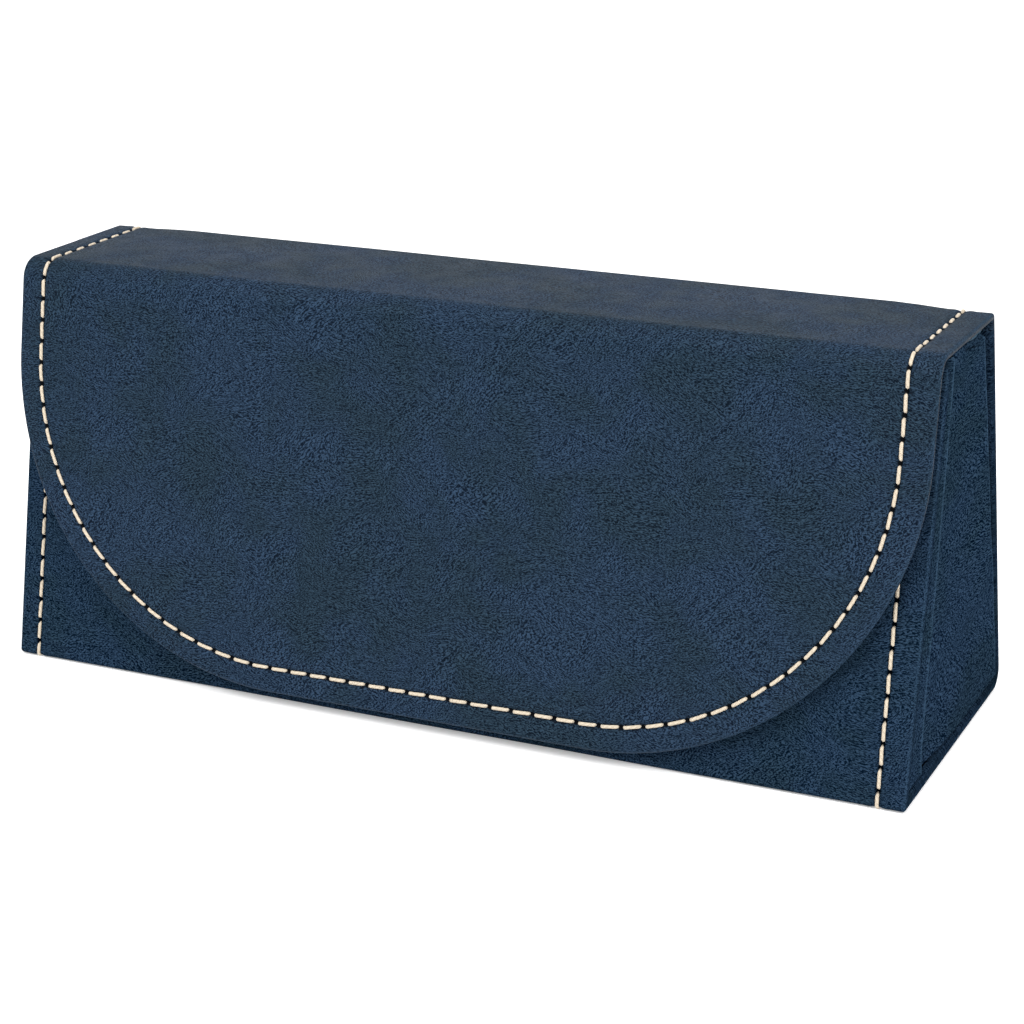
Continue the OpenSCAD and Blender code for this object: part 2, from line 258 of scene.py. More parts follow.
def waviness(x, s):
    """Slow, slight unevenness of leatherette glued to board, inwards."""
    a = np.sin(x / 17.0 + 1.7 * np.sin(s / 23.0 + 0.4))
    b = np.sin(s / 11.0 + 1.3 * np.sin(x / 29.0 + 2.0))
    c = np.sin((x + 0.6 * s) / 7.5 + 0.9 * np.sin((s - x) / 13.0))
    inside = smooth(HALF_W - np.abs(x), 6.0, 16.0)
    crown = inside * smooth(s, REAR_FACE[1] - 4, REAR_FACE[1] + 0.5)
    crown = crown * (1 - smooth(s, LID_FACE[1] - 9, LID_FACE[1]))
    return 0.035 * a * b + 0.014 * c - LID_CROWN * crown


def inset_from_edge(x, s):
    """How far a point of the lid or flap lies inside its outline."""
    v = ARC_V + s - ARC_S
    side = HALF_W - np.abs(x)
    over = np.maximum(np.abs(x) - ARC_X, 0)
    round_part = ARC_R - np.hypot(over, np.maximum(v - ARC_V, 0))
    return np.where(s < ARC_S, side, round_part)


def outward(x, s):
    """The way out of the outline near its edge, so that the hide's grain runs on round it."""
    over = np.where(x < 0, -1.0, 1.0) * np.maximum(np.abs(x) - ARC_X, 1e-6)
    down = np.maximum(s - ARC_S, 0)
    way = np.stack([over, down], -1) / np.hypot(over, down)[..., None]
    return way * (1 - smooth(inset_from_edge(x, s), 3.0, 8.0))[..., None]


# ---- Seams ----

PITCH = 3.725
BODY_PITCH = 3.8
LID_INSET = 4.75
BODY_INSET = 4.25
SEAM_OFF_CENTRE = -0.3
SEAM_LOW = -0.45
# The seam's radius round the flap's corners, and how far round its straight sides start.
SEAM_R = ARC_R - LID_INSET
SIDE_START = ARC_X + SEAM_R * math.pi / 2
FIRST_HOLE = 0.5
# The stitches run ahead of their even pitch by up to FEED_DRIFT, most at hole DRIFT_AT.
FEED_DRIFT = 2.0
DRIFT_AT = 14
DRIFT_WIDTH = 10
FOOT_HOLE = 2.8
CHANNEL_DEPTH = 0.24
CHANNEL_HALF_W = 0.62
HOLE_DEPTH = 0.3
HOLE_R = 0.38
THREAD_R = 0.3
THREAD_DIVE = 0.34
# How far a stitch stops short of its needle holes, and how deep its middle line lies.
STITCH_FIT = (0.4, 0.08)
LID_STITCH_FIT = (0.82, 0.2)
HOLE_AROUND = (-0.95, -0.55, -0.33, -0.16, 0.0, 0.16, 0.33, 0.55, 0.95, 1.85)
HALF_SEAM = np.array([0.07, 0.2, 0.34, 0.52, 0.75, 1.05, 1.5, 2.2])
ACROSS_SEAM = np.r_[-HALF_SEAM[::-1], HALF_SEAM]
# The least distance between two rows of vertices, and from a row to the end of its sheet.
LEAST_GAP = 0.06
END_GAP = 0.04


def round_hole(k):
    """Needle hole k of the flap's seam, measured round it from the middle of its lower edge."""
    return FIRST_HOLE + PITCH * k + FEED_DRIFT * float(hump(k, DRIFT_AT, DRIFT_WIDTH))


ROUND_HOLES = np.array([round_hole(k) for k in range(-70, 71)])


def side_holes(side):
    """The needle holes up one side of the whole strip, body first, then lid and flap."""
    seam = ROUND_HOLES * side
    strip = np.sort(ARC_S + SIDE_START - seam[seam > SIDE_START - 4 * PITCH])
    lid = strip[strip > REAR_FACE[1] + 1.0]
    foot = math.dist(FRONT_RIM, FRONT_BASE) - FOOT_HOLE
    count = round((lid[0] - foot) / BODY_PITCH)
    body = np.linspace(foot, lid[0], count + 1)[:-1]
    front = np.arange(foot - BODY_PITCH, 2.5, -BODY_PITCH)[::-1]
    return np.concatenate([front, body, lid])


SIDE_HOLES = {side: side_holes(side) for side in SIDE_WORDS}


def seam_x(side, s):
    """Across the case, where the side seam runs: a little further out on the body."""
    body = 1 - smooth(s, REAR_FACE[0] + 20, REAR_FACE[1] - 2)
    inset = LID_INSET + (BODY_INSET - LID_INSET) * body
    return side * (HALF_W - inset) + SEAM_OFF_CENTRE


def columns_round(holes, low, high, extra=()):
    """Places along a seam, close together round each needle hole."""
    found = {round(float(h) + d, 3) for h in holes for d in HOLE_AROUND}
    found |= {round(float(e), 3) for e in extra}
    kept = [low]
    for c in sorted(found):
        if low + END_GAP < c < high - END_GAP and c - kept[-1] > LEAST_GAP:
            kept.append(c)
    return np.array([*kept, high])


def seam_dent(along, across, holes):
    """How far a seam presses the leatherette in, and the painted shade in its needle holes and
    along its channel.
    """
    along, across = np.broadcast_arrays(along, across)
    after = np.clip(np.searchsorted(holes, along), 1, len(holes) - 1)
    gap = np.minimum(np.abs(along - holes[after]), np.abs(along - holes[after - 1]))
    channel = CHANNEL_DEPTH * hump(across, 0, CHANNEL_HALF_W)
    swell = -0.05 * (hump(across, 1.4, 0.5) + hump(across, -1.4, 0.5))
    hole = HOLE_DEPTH * hump(gap, 0, HOLE_R) * hump(across, 0, HOLE_R)
    # Painted shade: the needle holes are darkened, and a painted contact shadow runs along the
    # thread's channel.
    dark = 1.8 * hump(gap, 0, 0.5) * hump(across, 0, 0.38)
    shade = 0.6 * hump(across, 0, CHANNEL_HALF_W)
    return channel + swell + hole, np.clip(np.maximum(dark, shade), 0, 1)


# ---- Meshes ----

UV_NAME = "hide"
UV_SPAN = 100.0


def in_scene(name, data):
    obj = bpy.data.objects.new(name, data)
    bpy.context.scene.collection.objects.link(obj)
    return obj


class Builder:
    """Collects the vertices, faces, rest coordinates and shade of one piece."""

    def __init__(self):
        self.points, self.uvs, self.dark, self.worn = [], [], [], []
        self.faces, self.sharp = [], []

    def add(self, points, uvs, dark=0.0, worn=0.0):
        start = len(self.points)
        self.points.extend(np.asarray(points, float))
        self.uvs.extend(np.asarray(uvs, float))
        self.dark.extend(np.broadcast_to(dark, (len(points),)))
        self.worn.extend(np.broadcast_to(worn, (len(points),)))
        return start

    def add_strip(self, x, s, depth, dark=0.0, worn=0.0):
        x, s, depth = np.broadcast_arrays(np.asarray(x, float), s, depth)
        uvs = np.stack([x, s], -1) + outward(x, s) * depth[..., None]
        return self.add(STRIP.point(x, s, depth), uvs, dark, worn)

    def add_hide(self, x, s, depth, dark, inset):
        """A row of a sheet, with painted shade down its cut side and lighter along its corner,
        partly worn and partly a painted highlight.
        """
        dark = np.maximum(dark, edge_shade(inset, depth))
        return self.add_strip(x, s, depth, dark, edge_wear_and_highlight(inset, depth))

    def bridge(self, a, b, count, closed=False):
        """Quads between two rows of vertices."""
        for i in range(count if closed else count - 1):
            j = (i + 1) % count
            self.faces.append((a + i, b + i, b + j, a + j))

    def cap(self, loop):
        """A flat end face with sharp edges."""
        self.faces.append(tuple(loop))
        self.sharp.extend(zip(loop, [*loop[1:], loop[0]]))

    def tube(self, rings, count):
        """A closed skin through rings of vertices, from the first to the last."""
        for a, b in zip(rings, rings[1:]):
            self.bridge(a, b, count, closed=True)
        self.cap([rings[0] + i for i in range(count)])
        self.cap([rings[-1] + i for i in reversed(range(count))])

    def sleeve(self, rows, count, flip):
        """A closed skin through rows of vertices and back to the first, with flat ends."""
        for a, b in zip(rows, [*rows[1:], rows[0]]):
            self.bridge(*((b, a) if flip else (a, b)), count)
        for at in (0, count - 1):
            loop = [row + at for row in rows]
            self.cap(loop if (at == 0) == flip else loop[::-1])

    def make(self, name, material):
        mesh = bpy.data.meshes.new(name)
        mesh.from_pydata([tuple(p) for p in np.array(self.points) * MM], [], self.faces)
        mesh.polygons.foreach_set("use_smooth", [True] * len(mesh.polygons))
        layer = mesh.uv_layers.new(name=UV_NAME)
        index = np.zeros(len(mesh.loops), np.int32)
        mesh.loops.foreach_get("vertex_index", index)
        uvs = (np.array(self.uvs) / UV_SPAN)[index]
        layer.data.foreach_set("uv", uvs.astype(np.float32).ravel())
        # Per-vertex colour marks: painted shade, and a lighter share along edges that is partly
        # worn finish and partly a painted highlight.
        for key, values in (("pressed", self.dark), ("worn", self.worn)):
            attribute = mesh.attributes.new(key, "FLOAT", "POINT")
            attribute.data.foreach_set("value", np.array(values, np.float32))
        if self.sharp:
            wanted = {frozenset(e) for e in self.sharp}
            flags = [frozenset(e.vertices) in wanted for e in mesh.edges]
            edge_flags = mesh.attributes.new("sharp_edge", "BOOLEAN", "EDGE")
            edge_flags.data.foreach_set("value", flags)
        mesh.materials.append(material)
        return in_scene(name, mesh)


def edge_round(half_w, top, bottom, r_top, r_bottom, steps=5):
    """The x, depth points round a sheet's edge, from its outer to its inner face."""
    sine, cosine = (f(np.linspace(0, math.pi / 2, steps + 1)) for f in (np.sin, np.cos))
    x = half_w - np.r_[r_top * (1 - sine), r_bottom * (1 - cosine)]
    depth = np.r_[top + r_top * (1 - cosine), bottom - r_bottom * (1 - sine)]
    return np.stack([x, depth], -1)


def edge_wear_and_highlight(inset, depth):
    """Lighter along the outer corner of an edge: partly worn finish, partly a painted highlight."""
    return 0.35 * hump(inset, 0.15, 0.16) * hump(depth, 0.12, 0.2)


def edge_shade(inset, depth):
    """Painted shade down the cut side of an edge, below its lit outer corner."""
    return 0.5 * (1 - smooth(inset, 0.1, 0.5)) * smooth(depth, 0.3, 0.7)


def swept(name, s_values, ring, material):
    """A closed sheet. ring(s) gives the x, depth and shade round its cross-section."""
    build = Builder()
    starts = []
    for s in s_values:
        x, depth, dark = ring(s)
        starts.append(build.add_hide(x, s, depth, dark, HALF_W - np.abs(x)))
    build.tube(starts, len(x))
    return build.make(name, material)


# ---- Leatherette of the body and the rear half of the lid ----

RIM_R = 0.9
HEM_T = 2.05
PANEL_T = BOARD_IN + 0.05


def strip_thickness(s):
    """From the outer face to the inner one: boards in the body, a bare border on the lid."""
    fall = smooth(s, REAR_CUT - 0.3, REAR_CUT - 0.02)
    hem = 1 - smooth(s, 2.6, 3.1)
    return PANEL_T + (BORDER_T - PANEL_T) * fall + (HEM_T - PANEL_T) * hem


INNER_COLUMNS = np.linspace(-74, 74, 38)
# The lid's turned-in border lies outside this, and its bare leatherette inside.
LID_HEM_X = 78.0
INNER_HALF = np.array([LID_HEM_X + 0.6, LID_HEM_X - 0.4, 60.0, 20.0])


def closed_ring(x, depth, edge, inner_x, inner, dark=()):
    """Joins an outer face, a right edge, an inner face and the mirrored left edge."""
    mirrored = edge[::-1] * np.array([-1, 1])
    ring_x = np.r_[x, edge[:, 0], inner_x, mirrored[:, 0]]
    ring_depth = np.r_[depth, edge[:, 1], inner, mirrored[:, 1]]
    return ring_x, ring_depth, np.r_[dark, np.zeros(len(ring_x) - len(dark))]


def leather_ring(s):
    """The cross-section of the leatherette at s, clockwise from its left outer edge."""
    thick = float(strip_thickness(s))
    rim = RIM_R - math.sqrt(RIM_R**2 - max(RIM_R - s, 0) ** 2)
    top, bottom = rim, thick - rim * (thick / RIM_R - 1)
    soft = min(0.5, (bottom - top) * 0.45)
    edge = edge_round(HALF_W - rim, top, bottom, soft, soft * 0.9)
    left, right = seam_x(-1, s), seam_x(1, s)
    x = np.r_[left + ACROSS_SEAM, INNER_COLUMNS, right + ACROSS_SEAM]
    depth_l, dark_l = seam_dent(s, x - left, SIDE_HOLES[-1])
    depth_r, dark_r = seam_dent(s, x - right, SIDE_HOLES[1])
    fade = smooth(s, 1.5, 4.0)
    fade_wave = smooth(s, 1.5, 8.0)
    depth = top + (depth_l + depth_r) * fade + waviness(x, s) * fade_wave
    dark = np.maximum(dark_l, dark_r) * fade
    inner_x = np.r_[INNER_HALF, -INNER_HALF[::-1]]
    past_cut = smooth(s, REAR_CUT + 0.5, REAR_CUT + 1.5)
    inner = bottom - (thick - BARE_T) * past_cut * (np.abs(inner_x) < LID_HEM_X)
    return closed_ring(x, depth, edge, inner_x, inner, dark)


def arc_steps(corner_from, corner_to, step):
    return np.arange(corner_from - step, corner_to + 2 * step, step)


ALL_SIDE_HOLES = np.sort(np.r_[SIDE_HOLES[-1], SIDE_HOLES[1]])
BASE_BENDS = np.r_[
    arc_steps(FRONT_FACE[1], BASE_FACE[0], 0.25), arc_steps(BASE_FACE[1], REAR_FACE[0], 0.4)
]
RIM_ROWS = [0.03, 0.1, 0.22, 0.38, 0.58, 0.9, 1.3, 1.8, 2.3, 2.6, 2.75, 2.95, 3.1, 3.6]
REAR_BEND = arc_steps(REAR_FACE[1], LID_FACE[0], 0.11)
FRONT_BEND = arc_steps(LID_FACE[1], FLAP_FACE[0], 0.22)


def body_leather(material):
    extra = [*RIM_ROWS, *BASE_BENDS, REAR_CUT - 0.3, REAR_CUT - 0.15]
    rows = columns_round(ALL_SIDE_HOLES, 0.01, REAR_CUT, extra)
    return swept("body_leather", rows, leather_ring, material)


def rear_lid_leather(material):
    rows = columns_round(ALL_SIDE_HOLES, REAR_CUT, LID_CUT, REAR_BEND)
    return swept("rear_lid_leather", rows, leather_ring, material)


# ---- Sheets with the flap's D outline ----


def outline_point(q, inset):
    """The x and s of a point inset from the lid and flap's edge, q round its seam."""
    side = np.where(q < 0, -1.0, 1.0)
    q = np.abs(q)
    r = ARC_R - inset
    angle = np.clip((q - ARC_X) / SEAM_R, 0, math.pi / 2)
    x = np.minimum(q, ARC_X) + r * np.sin(angle)
    s = ARC_S + r * np.cos(angle) - np.maximum(q - SIDE_START, 0)
    return side * x, s


def seam_shift(q):
    """How much further in than LID_INSET the seam runs, as it sits low and off centre."""
    angle = np.clip((np.abs(q) - ARC_X) / SEAM_R, 0, math.pi / 2)
    return SEAM_LOW * np.cos(angle) - SEAM_OFF_CENTRE * np.sin(angle) * np.sign(q)


def flat_edge(points, spacing):
    """Places across LID_CUT from the right end of a row of points to its left end."""
    return np.arange(points[-1] - spacing, points[0] + spacing / 2, -spacing)


def fill_face(build, ring, base, depth_at, spacing, flip):
    """Triangles within a row round the border; returns the vertices along LID_CUT."""
    ring_x, ring_s = ring[:2]
    count = len(ring_x)
    across = flat_edge(ring_x, spacing)
    loop = [*zip(ring_x, ring_s), *((x, LID_CUT) for x in across)]
    rows = sorted({*np.arange(LID_CUT + spacing, STRIP.length, spacing), *FRONT_BEND})
    grid = np.stack(np.meshgrid(np.arange(-HALF_W, HALF_W, spacing), rows), -1).reshape(-1, 2)
    limit = np.min(inset_from_edge(ring_x, ring_s)) + GRID_CLEAR
    free = grid[inset_from_edge(*grid.T) > limit]
    plane = [Vector(p) for p in [*loop, *free]]
    edges = [(i, (i + 1) % len(loop)) for i in range(len(loop))]
    flat, _, triangles, origin, _, _ = delaunay_2d_cdt(plane, edges, [], 1, 1e-5)
    first = [source[0] if source else -1 for source in origin]
    new = [i for i, f in enumerate(first) if not 0 <= f < count]
    x, s = np.array([flat[i] for i in new]).T
    start = build.add_strip(x, s, depth_at(x, s))
    index = {i: base + f for i, f in enumerate(first) if 0 <= f < count}
    index.update({i: start + j for j, i in enumerate(new)})
    for triangle in triangles:
        corners = [index[i] for i in triangle]
        build.faces.append(tuple(corners[::-1] if flip else corners))
    placed = {first[i]: start + j for j, i in enumerate(new)}
    return [placed[count + k] for k in range(len(across))]


def d_sheet(name, rows, q_values, outer, inner, spacing, material):
    """A closed sheet from LID_CUT over the front fold to the flap's lower edge.

    rows(q) lists the x, s, depth and shade of the rows round its border, from the outer
    face to the inner one. outer and inner give the depths of the two faces within it.
    """
    build = Builder()
    border = rows(q_values)
    starts = [build.add_hide(*row, inset_from_edge(*row[:2])) for row in border]
    count = len(q_values)
    for a, b in zip(starts, starts[1:]):
        build.bridge(a, b, count)
    upper = fill_face(build, border[0], starts[0], outer, spacing, flip=True)
    lower = fill_face(build, border[-1], starts[-1], inner, spacing, flip=False)
    right = [start + count - 1 for start in starts]
    build.cap([*upper[::-1], *right, *lower, *starts[::-1]])
    return build.make(name, material)


BORDER_IN = 7.6
# How far the grid of vertices within a face keeps clear of its border.
GRID_CLEAR = 0.8
HEM_END = 5.0


def nose(inset, top, bottom, steps=7):
    """The insets and depths round a sheet's edge that is half a circle in section."""
    r = (bottom - top) / 2
    angles = [math.pi * i / steps for i in range(steps + 1)]
    return [(inset + r - r * math.sin(a), top + r - r * math.cos(a)) for a in angles]


def plain_row(q, inset, depth):
    x, s = outline_point(q, inset)
    return x, s, depth(x, s) if callable(depth) else np.full(len(q), depth), 0.0


def seamed_row(q, inset):
    """A row of the leatherette's outer face, pressed in where the seam runs."""
    near = abs(inset - LID_INSET) <= max(ACROSS_SEAM) + 0.01
    x, s = outline_point(q, inset + seam_shift(q) * near)
    across = inset - LID_INSET + (0 if near else -1) * seam_shift(q)
    dent, dark = seam_dent(q, across, ROUND_HOLES)
    depth = dent * smooth(inset, 1.0, 2.2) + waviness(x, s) * smooth(inset, 0.4, 2.5)
    return x, s, depth, dark


def leather_rows(q):
    outer = sorted({*(LID_INSET + d for d in ACROSS_SEAM), BORDER_IN, 2.0, 1.5, 1.1, 0.8})
    rows = [seamed_row(q, inset) for inset in reversed(outer)]
    rows += [plain_row(q, inset, depth) for inset, depth in nose(0.0, 0.0, BORDER_T)]
    hem = [(1.2, BORDER_T), (HEM_END - 0.3, BORDER_T), (HEM_END, BARE_T), (BORDER_IN, BARE_T)]
    return rows + [plain_row(q, inset, depth) for inset, depth in hem]


def round_columns():
    """Places round the flap's seam, from the lid's middle on one side to the other."""
    reach = SIDE_START + ARC_S - LID_CUT
    bend = SIDE_START + ARC_S - FRONT_BEND
    return columns_round(ROUND_HOLES, -reach, reach, [*bend, *-bend])


def constant(depth):
    return lambda x, s: np.full(np.shape(x), depth)


def lid_flap_leather(material):
    columns = round_columns()
    faces = (waviness, constant(BARE_T))
    return d_sheet("lid_flap_leather", leather_rows, columns, *faces, 2.0, material)


# ---- Linings ----

LINING_EDGE = 3.4
LINING_TOP = 1.42
LINING_UNDER = 1.0
BOARD_EDGE = HALF_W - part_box("flap_board")[1].x / MM
BODY_LINING_IN = LINING_IN + 0.05


def board_under(x, s):
    """Where board lies under the lining of the lid and flap: 0 to 1."""
    across = smooth(inset_from_edge(x, s), BOARD_EDGE - 1.2, BOARD_EDGE - 0.1)
    rear = smooth(s, REAR_FOLD_END - 0.4, REAR_FOLD_END + 0.5)
    front = 1 - smooth(s, FRONT_FOLD_START - 0.5, FRONT_FOLD_START + 0.4)
    flap = smooth(s, FRONT_FOLD_END - 0.4, FRONT_FOLD_END + 0.5)
    return across * np.maximum(rear * front, flap)


def lining_face(x, s):
    """The depth of the lining's inner face in the lid and flap."""
    over_hem = LINING_TOP - 0.14 * smooth(inset_from_edge(x, s), HEM_END - 0.4, HEM_END + 0.4)
    pucker = 0.03 * np.sin(x / 3.1 + np.sin(s / 5.0)) * np.sin(s / 4.3 + x / 19.0)
    return over_hem + (LID_PANEL_T - over_hem) * board_under(x, s) + pucker


def lining_rows(q):
    rows = [plain_row(q, inset, LINING_UNDER) for inset in (BORDER_IN, 4.4)]
    rows += [plain_row(q, *pair) for pair in nose(LINING_EDGE, LINING_UNDER, LINING_TOP, 5)]
    insets = (4.0, 4.4, 4.6, 4.8, 5.0, 5.2, 5.4, 5.6, 6.2, 7.0, BORDER_IN)
    return rows + [plain_row(q, inset, lining_face) for inset in insets]


def lid_flap_lining(material):
    columns = round_columns()
    columns = np.array([*columns[:-1:4], columns[-1]])
    faces = (constant(LINING_UNDER), lining_face)
    return d_sheet("lid_flap_lining", lining_rows, columns, *faces, 1.6, material)


LINING_COLUMNS = np.linspace(-72, 72, 91)


def rear_lining_ring(s):
    half = HALF_W - LINING_EDGE
    edge = edge_round(half, LINING_UNDER, LINING_TOP, 0.2, 0.2)
    near = np.r_[78.5, np.arange(77.9, 75.4, -0.4), 74.9, 74.0]
    inner_x = np.r_[near, LINING_COLUMNS[::-1], -near[::-1]]
    inner = lining_face(inner_x, np.full(len(inner_x), s))
    outer_x = np.array([-78.0, -40.0, 0.0, 40.0, 78.0])
    return closed_ring(outer_x, np.full(5, LINING_UNDER), edge, inner_x, inner)


def rear_lid_lining(material):
    rows = np.unique(np.r_[np.arange(REAR_CUT, LID_CUT, 0.4), REAR_BEND, LID_CUT])
    rows = rows[(rows == REAR_CUT) | (np.diff(rows, prepend=-1) > 0.04)]
    return swept("rear_lid_lining", rows, rear_lining_ring, material)


def body_lining_ring(s):
    """The lining glued round the inside of the front, base and rear panels."""
    start = smooth(s, 2.3, 2.8)
    rear = smooth(s, REAR_CUT - 1.1, REAR_CUT)
    face = BODY_LINING_IN - 0.3 * (1 - start) - (BODY_LINING_IN - LINING_TOP) * rear
    glued = BOARD_IN - 0.15
    under = glued - (glued - LINING_UNDER) * rear
    edge = edge_round(HEM_X + 1.0, under, face, 0.1, 0.1)
    inner_x = np.r_[76.0, 75.0, LINING_COLUMNS[::-1], -75.0, -76.0]
    pucker = 0.03 * np.sin(inner_x / 4.1 + np.sin(s / 6.0)) * np.sin(s / 5.3 + inner_x / 23.0)
    outer_x = np.array([-76.0, 0.0, 76.0])
    return closed_ring(outer_x, np.full(3, under), edge, inner_x, face + pucker * start)


def body_lining_cloth(material):
    rows = np.r_[2.3, 2.4, 2.55, 2.8, np.arange(3.4, REAR_CUT - 1.2, 1.0)]
    ends = REAR_CUT - np.array([1.1, 0.8, 0.5, 0.25, 0.0])
    rows = np.unique(np.r_[rows, BASE_BENDS, ends])
    return swept("body_lining_cloth", rows, body_lining_ring, material)


# ---- The two ends ----

END_FLOOR_Z = BOARD_IN
FRONT_LEAN = math.atan2(FRONT_RIM[0] - FRONT_BASE[0], PANEL_TOP_Z)
FRONT_INSET = BOARD_IN / math.cos(FRONT_LEAN)
REAR_INSET = BOARD_IN / math.cos(REAR_LEAN)
CREVICE = 1.75
DEEPEST = HALF_W - END_CARD_X - 0.15


def end_front_y(z):
    return FRONT_BASE[0] + (FRONT_RIM[0] - FRONT_BASE[0]) * z / PANEL_TOP_Z + FRONT_INSET


def end_rear_y(z):
    return REAR_BASE[0] + (REAR_TOP[0] - REAR_BASE[0]) * z / TOP_Z - REAR_INSET


def end_top(y):
    """The end's top edge sags between the panels."""
    return END_TOP_Z - 0.1 - 0.6 * hump(y, 5.0, 4.5)


def end_ridges(z):
    """How far up a place is, and how far from the two panels an end's ridges stand there."""
    up = np.clip((z - END_FLOOR_Z) / (PANEL_TOP_Z - END_FLOOR_Z), 0, 1)
    front = 2.1 + 3.6 * (1 - up) ** 0.75 + 1.6 * (1 - smooth(up, 0.0, 0.13)) ** 2
    return up, front, 0.6 + 3.6 * up**1.3


def end_gaps(y, z):
    """How far behind the front panel and before the rear one a place on an end lies."""
    return y - end_front_y(z), end_rear_y(z) - y


# The ends' ridges are painted lighter: partly worn, partly a painted highlight.
def ridge_wear_and_highlight(y, z):
    _, front, rear = end_ridges(z)
    a, b = end_gaps(y, z)
    return 0.75 * hump(a, front - 0.1, 0.28) + 0.5 * hump(b, rear + 0.2, 0.35)


def web_shade(y, z):
    """Painted shade where the web drops behind the front ridge, in the crevices beside the panels
    and along the foot.
    """
    _, front, rear = end_ridges(z)
    a, b = end_gaps(y, z)
    behind = 0.6 * smooth(a, front + 0.2, front + 1.0) * np.exp(-np.maximum(a - front, 0) / 6.0)
    seams = 0.9 * (1 - smooth(a, 0.1, 0.8)) + 0.7 * (1 - smooth(b, 0.0, rear * 0.8))
    foot = 1 - smooth(z - END_FLOOR_Z, 0.4, 0.9)
    return np.clip(np.maximum(np.maximum(behind, seams), foot), 0, 1)


def end_sink(y, z, top):
    """How far the soft end lies in from the case's ends: rolled edges round a slack web."""
    a, b = end_gaps(y, z)
    up, ridge, rear_ridge = end_ridges(z)
    # The web is deepest behind the front ridge and bulges near the foot.
    across = np.clip((a - ridge) / np.maximum(a + b - ridge - rear_ridge, 1), 0, 1)
    low = 1 - smooth(up, 0.08, 0.5)
    web = 2.0 - 1.45 * across**0.9 - 1.3 * low * np.sin(math.pi * across) ** 0.8
    web = web + 0.25 * hump(up, 0.72, 0.2) * np.sin(math.pi * across)
    web = web - (0.45 + 0.4 * low) * smooth(across, 0.55, 1.0)
    # It is sewn to a rolled edge in front, with a crevice beside either panel and the base.
    roll = 0.3 - 0.22 * hump(a, ridge, 0.5)
    past_ridge = smooth(a, ridge + 0.1, ridge + 1.3 + 2.0 * low)
    sink = roll + (np.clip(web, -0.35 * low, None) - roll) * past_ridge
    sink = sink + (CREVICE - sink) * (1 - smooth(a, 0.1, 0.75))
    sink = sink + (DEEPEST - 0.05 - sink) * (1 - smooth(b, rear_ridge * 0.45, rear_ridge + 0.15))
    sink = np.maximum(sink, 1.3 * (1 - smooth(z - END_FLOOR_Z, 0.35, 0.95)))
    # Two slanting creases, the rounded top edge and a slight ripple.
    crease = (z - 17.0) - 0.42 * (y - 3.0) + 2.0 * np.sin((y - 4.0) / 9.0)
    window = smooth(a, 8, 16) * smooth(b, 1.5, 6)
    sink = sink + (0.3 * hump(crease, 0, 1.8) - 0.1 * hump(crease, 3.8, 2.4)) * window
    second = (z - 9.5) + 0.30 * (y - 12.0)
    sink = sink + 0.16 * hump(second, 0, 1.5) * smooth(a, 16, 24) * smooth(b, 1, 5)
    rounding = 0.3 + 0.6 * smooth(a, 2, 6)
    sink = sink + rounding * (1 - smooth(top - z, 0.0, 0.8)) ** 1.5
    sink = sink + 0.035 * np.sin(z / 2.3 + 0.8 * np.sin(y / 3.0)) * smooth(a, 3, 6)
    return np.clip(sink, -0.4, DEEPEST)


FRONT_STEPS = np.r_[0, 0.12, 0.25, 0.4, 0.6, 0.8, 1:3.1:0.25, 3.3, 3.6, 4:11.1:0.4]
REAR_STEPS = np.r_[0:5:0.22, 5.2:7.3:0.5]
MIDDLE_SHARES = np.linspace(0, 1, 34)[1:-1]
END_ROWS = np.r_[0:6:0.25, 6:64:0.8, 64.6, 65.4, 66.0]
TOP_ROWS = np.array([1.4, 1.1, 0.85, 0.65, 0.48, 0.34, 0.22, 0.12, 0.05, 0.0])


def end_leather(side, material):
    """A soft end of leatherette, closed at the back where it is glued to the card."""
    build = Builder()
    starts = []
    rows = [("up", z) for z in END_ROWS + END_FLOOR_Z] + [("down", t) for t in TOP_ROWS]
    count = len(FRONT_STEPS) + len(MIDDLE_SHARES) + len(REAR_STEPS)
    for kind, value in rows:
        z = np.full(count, value if kind == "up" else PANEL_TOP_Z)
        for _ in range(3):
            front, rear = end_front_y(z), end_rear_y(z)
            low, high = front + FRONT_STEPS[-1], rear - REAR_STEPS[-1]
            y = np.r_[
                front[: len(FRONT_STEPS)] + FRONT_STEPS,
                low[0] + (high[0] - low[0]) * MIDDLE_SHARES,
                (rear[: len(REAR_STEPS)] - REAR_STEPS)[::-1],
            ]
            if kind == "down":
                z = end_top(y) - value
        x = HALF_W - end_sink(y, z, end_top(y))
        points = np.stack([side * x, y, z], -1)
        # Painted shade in the web's hollows, and lighter ridges that are partly worn and partly a
        # painted highlight.
        shade, worn = web_shade(y, z), ridge_wear_and_highlight(y, z)
        run = y[0] + np.cumsum(np.hypot(np.diff(y, prepend=y[0]), np.diff(x, prepend=x[0])))
        starts.append(build.add(points, end_uv(side, run, z), shade, worn))
    back = []
    for z in (END_FLOOR_Z, PANEL_TOP_Z - 6, PANEL_TOP_Z - 0.4):
        y = np.linspace(end_front_y(z), end_rear_y(z), count)
        points = np.stack([np.full(count, side * END_CARD_X), y, np.full(count, z)], -1)
        back.append(build.add(points, end_uv(side, y, z)))
    build.sleeve([*starts, *back[::-1]], count, flip=side > 0)
    return build.make(f"{SIDE_WORDS[side]}_end_leather", material)


def end_uv(side, y, z):
    """The ends are cut from the same hide, further along it, and pulled wide as they're sewn."""
    return np.stack(np.broadcast_arrays(y * 0.5 + side * 260.0, z * 0.85 + 400.0), -1)


# How deep the two faces of an end's turned-in strip lie.
HEM_OUT = 1.65
HEM_IN = 2.55


